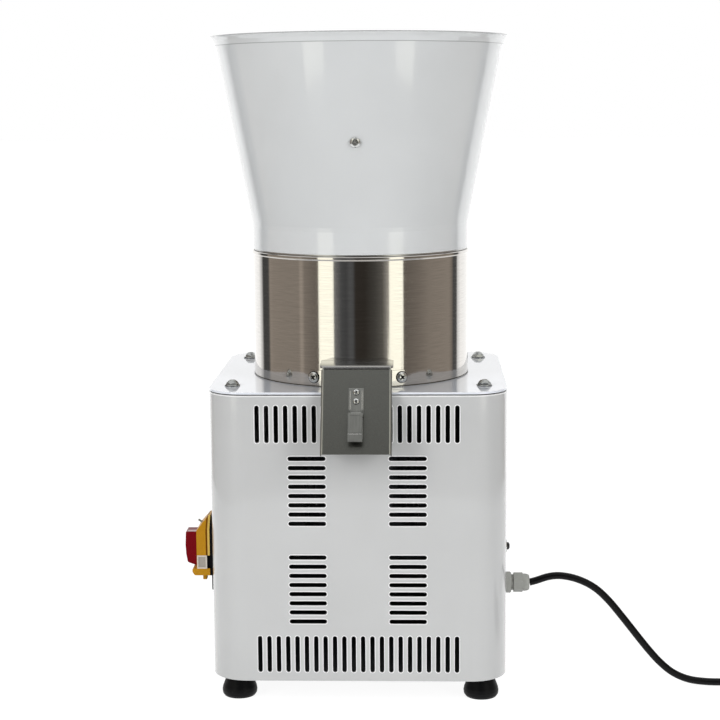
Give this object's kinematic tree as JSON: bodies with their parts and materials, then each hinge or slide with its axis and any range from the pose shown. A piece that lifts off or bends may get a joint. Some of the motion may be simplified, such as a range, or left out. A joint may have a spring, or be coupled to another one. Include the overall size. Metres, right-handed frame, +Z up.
{
  "type": "electric grain mill",
  "caption": "Electric grain mill: white enamelled hopper on a steel grinding drum, with a sloping flour chute over a vented motor cabinet on rubber feet.",
  "frame": {"origin": "centre of the floor area covered by the mill without its cord, at the soles of the feet", "axes": "+Z up, the chute faces -Y, the switch is on the -X side and the cord leaves on the +X side"},
  "size_m": [0.7416, 0.3794, 0.7453],
  "materials": {
    "base_plate": "grey enamel",
    "bearing_bottom": "bright",
    "bearing_top": "bright",
    "blade": "brushed",
    "cabinet_shell": "glossy white enamel",
    "capacitor": "black",
    "chute_body": "brushed",
    "chute_cover": "dark, smooth",
    "chute_screw_left": "zinc plated",
    "chute_screw_right": "zinc plated",
    "clip_base": "brushed",
    "clip_lever": "brushed",
    "clip_pin": "zinc plated",
    "clip_rivet_lower": "zinc plated",
    "clip_rivet_upper": "zinc plated",
    "cord_coil": "black sheath",
    "drum": "brushed",
    "fan_cover": "grey enamel",
    "feed_plate": "bright",
    "foot_back_left": "matt black",
    "foot_back_right": "matt black",
    "foot_front_left": "matt black",
    "foot_front_right": "matt black",
    "gland_body": "light grey",
    "gland_locknut": "light grey",
    "gland_nut": "light grey",
    "guard_screw_front": "zinc plated",
    "guard_screw_left": "zinc plated",
    "guard_screw_right": "zinc plated",
    "hopper": "glossy white enamel",
    "hopper_guard": "bright",
    "hub_nut": "zinc plated",
    "motor_bell_bottom": "grey enamel",
    "motor_bell_top": "grey enamel",
    "motor_body": "grey enamel",
    "motor_fan": "black",
    "motor_shaft": "bright",
    "plate_bolt_back_left": "zinc plated",
    "plate_bolt_back_right": "zinc plated",
    "plate_bolt_front_left": "zinc plated",
    "plate_bolt_front_right": "zinc plated",
    "plug": "black sheath",
    "power_cord": "black sheath",
    "reset_body": "black",
    "reset_button": "black",
    "rotor_core": "dark, smooth",
    "rotor_hub": "brushed",
    "sieve_ring": "brushed",
    "sieve_seat": "brushed",
    "start_button": "green",
    "stator_core": "varnished laminations and copper windings",
    "stop_button": "red",
    "stop_pad": "red",
    "sweeper": "brushed",
    "switch_base": "black",
    "switch_block": "light grey",
    "switch_cover": "yellow",
    "switch_plate": "black",
    "top_plate": "satin white powder coat"
  },
  "bodies": {
    "cabinet": {"base_plate": "base_plate", "bearing_bottom": "bearing_bottom", "bearing_top": "bearing_top", "cabinet_shell": "cabinet_shell", "capacitor": "capacitor", "chute_body": "chute_body", "chute_cover": "chute_cover", "chute_screw_left": "chute_screw_left", "chute_screw_right": "chute_screw_right", "clip_base": "clip_base", "clip_pin": "clip_pin", "clip_rivet_lower": "clip_rivet_lower", "clip_rivet_upper": "clip_rivet_upper", "cord_coil": "cord_coil", "drum": "drum", "fan_cover": "fan_cover", "foot_back_left": "foot_back_left", "foot_back_right": "foot_back_right", "foot_front_left": "foot_front_left", "foot_front_right": "foot_front_right", "gland_body": "gland_body", "gland_locknut": "gland_locknut", "gland_nut": "gland_nut", "motor_bell_bottom": "motor_bell_bottom", "motor_bell_top": "motor_bell_top", "motor_body": "motor_body", "plate_bolt_back_left": "plate_bolt_back_left", "plate_bolt_back_right": "plate_bolt_back_right", "plate_bolt_front_left": "plate_bolt_front_left", "plate_bolt_front_right": "plate_bolt_front_right", "plug": "plug", "power_cord": "power_cord", "reset_body": "reset_body", "sieve_ring": "sieve_ring", "sieve_seat": "sieve_seat", "stator_core": "stator_core", "switch_base": "switch_base", "switch_block": "switch_block", "switch_plate": "switch_plate", "top_plate": "top_plate"},
    "rotor": {"motor_shaft": "motor_shaft", "rotor_core": "rotor_core", "motor_fan": "motor_fan", "rotor_hub": "rotor_hub", "blade": "blade", "hub_nut": "hub_nut", "sweeper": "sweeper"},
    "hopper_unit": {"hopper": "hopper", "hopper_guard": "hopper_guard", "guard_screw_front": "guard_screw_front", "guard_screw_left": "guard_screw_left", "guard_screw_right": "guard_screw_right", "feed_plate": "feed_plate"},
    "bag_clip": {"clip_lever": "clip_lever"},
    "switch_lid": {"switch_cover": "switch_cover"},
    "stop_paddle": {"stop_pad": "stop_pad"},
    "start_key": {"start_button": "start_button"},
    "stop_key": {"stop_button": "stop_button"},
    "reset_key": {"reset_button": "reset_button"}
  },
  "joints": [
    {"name": "rotor_spin", "type": "hinge", "parent": "cabinet", "child": "rotor", "pos_m": [0.0034, 0.0132, 0.4], "axis": [0, 0, 1], "continuous": true},
    {"name": "hopper_lift", "type": "slide", "parent": "cabinet", "child": "hopper_unit", "axis": [0, 0, 1], "range_m": [0, 0.25]},
    {"name": "bag_clip_swing", "type": "hinge", "parent": "cabinet", "child": "bag_clip", "pos_m": [0.0034, -0.16712, 0.33884], "axis": [-1, 0, 0], "range_deg": [0, 35], "stiffness_Nm_per_rad": 0.06, "springref_deg": -17.19},
    {"name": "switch_lid_swing", "type": "hinge", "parent": "cabinet", "child": "switch_lid", "pos_m": [-0.1689, -0.0588, 0.202], "axis": [0, 1, 0], "range_deg": [0, 95]},
    {"name": "stop_paddle_press", "type": "slide", "parent": "switch_lid", "child": "stop_paddle", "axis": [1, 0, 0], "range_m": [0, 0.0035], "stiffness_N_per_m": 250, "springref_m": -0.004},
    {"name": "stop_key_press", "type": "slide", "parent": "cabinet", "child": "stop_key", "axis": [1, 0, 0], "range_m": [0, 0.0035]},
    {"name": "start_key_press", "type": "slide", "parent": "cabinet", "child": "start_key", "axis": [1, 0, 0], "range_m": [0, 0.0035], "stiffness_N_per_m": 300, "springref_m": -0.003},
    {"name": "reset_key_press", "type": "slide", "parent": "cabinet", "child": "reset_key", "axis": [-1, 0, 0], "range_m": [0, 0.0035], "stiffness_N_per_m": 400, "springref_m": -0.003}
  ],
  "couplings": [
    {"joint": "stop_key_press", "follows": "stop_paddle_press", "ratio": 1}
  ]
}
